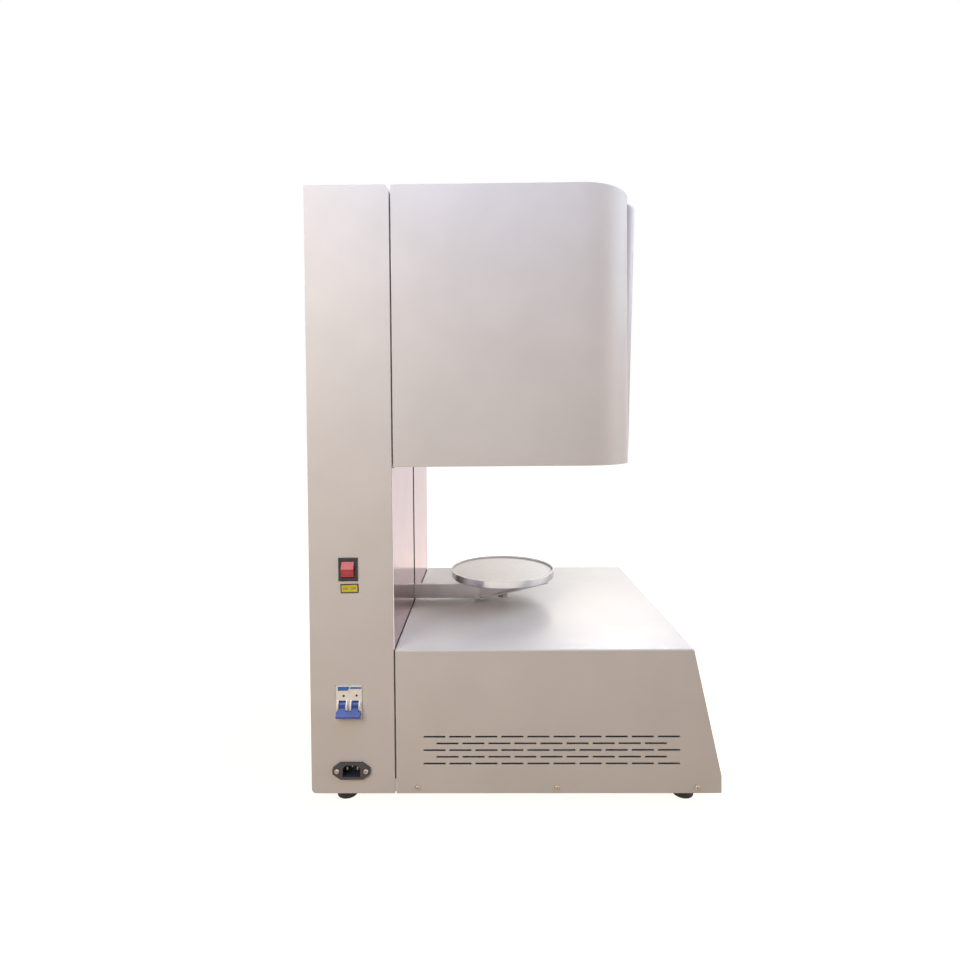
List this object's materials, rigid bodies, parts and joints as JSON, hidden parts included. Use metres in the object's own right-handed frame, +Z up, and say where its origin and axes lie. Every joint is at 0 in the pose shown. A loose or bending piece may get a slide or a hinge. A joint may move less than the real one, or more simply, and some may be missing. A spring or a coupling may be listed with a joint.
{
  "type": "dental porcelain furnace",
  "caption": "Bench-top dental furnace: rear column, overhanging furnace head, vented base and a tray on an arm that lifts into the chamber mouth.",
  "frame": {"origin": "middle of the footprint, on the plane that the feet stand on", "axes": "+Z up, -Y to the front, where the base's slanted face and the head's screen are, +X to the right of someone who stands in front and looks along +Y; switch, breaker and inlet are on the -X side"},
  "size_m": [0.4532, 0.5644, 0.853],
  "materials": {
    "casing_paint": "light grey, fine texture",
    "fascia_paint": "pale grey, satin",
    "polished_stainless": "polished stainless steel",
    "tray_steel": "turned and polished",
    "bracket_steel": "satin steel",
    "fibre_ceramic": "matt ceramic fibre",
    "white_ceramic": "unglazed ceramic",
    "foot_rubber": "matt",
    "fastener_steel": "nickel plated",
    "zinc_plate": "zinc plated",
    "black_plastic": "fine grain",
    "screen_glass": "glossy",
    "circuit_board": "solder resist",
    "can_steel": "sheet steel",
    "element_metal": "oxidised",
    "strap_aluminium": "bright",
    "carriage_aluminium": "machined",
    "nut_brass": "machined",
    "bearing_steel": "ground",
    "motor_black": "black paint",
    "switch_black": "moulded",
    "rocker_red": "translucent red",
    "breaker_cream": "moulded",
    "handle_blue": "moulded",
    "inlet_black": "moulded",
    "pin_brass": "nickel plated",
    "core_iron": "laminated",
    "coil_copper": "taped winding",
    "sink_aluminium": "extruded",
    "relay_cream": "moulded"
  },
  "bodies": {
    "casing": {"base_pan": "zinc_plate", "rubber_feet": "foot_rubber", "foot_bolts": "fastener_steel", "base_cover": "casing_paint", "casing_screws": "fastener_steel", "column_shell": "casing_paint", "column_rear_panel": "casing_paint", "front_panel_left": "polished_stainless", "front_panel_right": "polished_stainless", "head_shell": "casing_paint", "head_bottom_plate": "casing_paint", "head_top_plate": "casing_paint", "head_fascia": "fascia_paint", "screen_bezel": "black_plastic", "touch_screen": "screen_glass", "display_board": "circuit_board", "chamber_can": "can_steel", "insulation_ring": "fibre_ceramic", "insulation_roof": "fibre_ceramic", "chamber_lid": "can_steel", "mouth_trim": "polished_stainless", "heating_elements": "element_metal", "element_holders": "white_ceramic", "element_straps": "strap_aluminium", "thermocouple": "white_ceramic", "position_sensors": "black_plastic", "lift_frame": "zinc_plate", "end_plates": "carriage_aluminium", "screw_bearings": "bearing_steel", "guide_rods": "bearing_steel", "motor_plate": "zinc_plate", "lift_motor": "motor_black", "head_frame": "zinc_plate", "fan_frame": "black_plastic", "switch_bezel": "switch_black", "breaker_body": "breaker_cream", "breaker_rail": "zinc_plate", "inlet_body": "inlet_black", "inlet_pins": "pin_brass", "transformer_core": "core_iron", "transformer_coil": "coil_copper", "heat_sink": "sink_aluminium", "power_relay": "relay_cream", "control_board": "circuit_board"},
    "lift": {"carriage": "carriage_aluminium", "lead_nut": "nut_brass", "linear_bushes": "bearing_steel", "sensor_flag": "bearing_steel", "arm_bar": "bracket_steel", "arm_bolts": "fastener_steel", "tray_bracket": "bracket_steel", "tray_stud": "fastener_steel", "tray_dish": "tray_steel", "ceramic_board": "fibre_ceramic"},
    "screw": {"lead_screw": "bearing_steel", "motor_coupling": "carriage_aluminium", "motor_shaft": "bearing_steel"},
    "fan": {"fan_rotor": "black_plastic"},
    "rocker": {"rocker_button": "rocker_red"},
    "breaker_toggle": {"breaker_handle": "handle_blue"}
  },
  "joints": [
    {"name": "lift", "type": "slide", "parent": "casing", "child": "lift", "axis": [0, 0, 1], "range_m": [0, 0.1965]},
    {"name": "screw_spin", "type": "hinge", "parent": "casing", "child": "screw", "pos_m": [0, 0.223, 0.3], "axis": [0, 0, 1], "continuous": true},
    {"name": "fan_spin", "type": "hinge", "parent": "casing", "child": "fan", "pos_m": [0.125, 0.27, 0.142], "axis": [0, 1, 0], "continuous": true},
    {"name": "rocker_tilt", "type": "hinge", "parent": "casing", "child": "rocker", "pos_m": [-0.219, 0.227, 0.332], "axis": [0, -1, 0], "range_deg": [0, 20]},
    {"name": "breaker_throw", "type": "hinge", "parent": "casing", "child": "breaker_toggle", "pos_m": [-0.217, 0.2278, 0.144], "axis": [0, 1, 0], "range_deg": [0, 86]}
  ],
  "couplings": [
    {"joint": "screw_spin", "follows": "lift", "rad_per_m": 785.4}
  ]
}
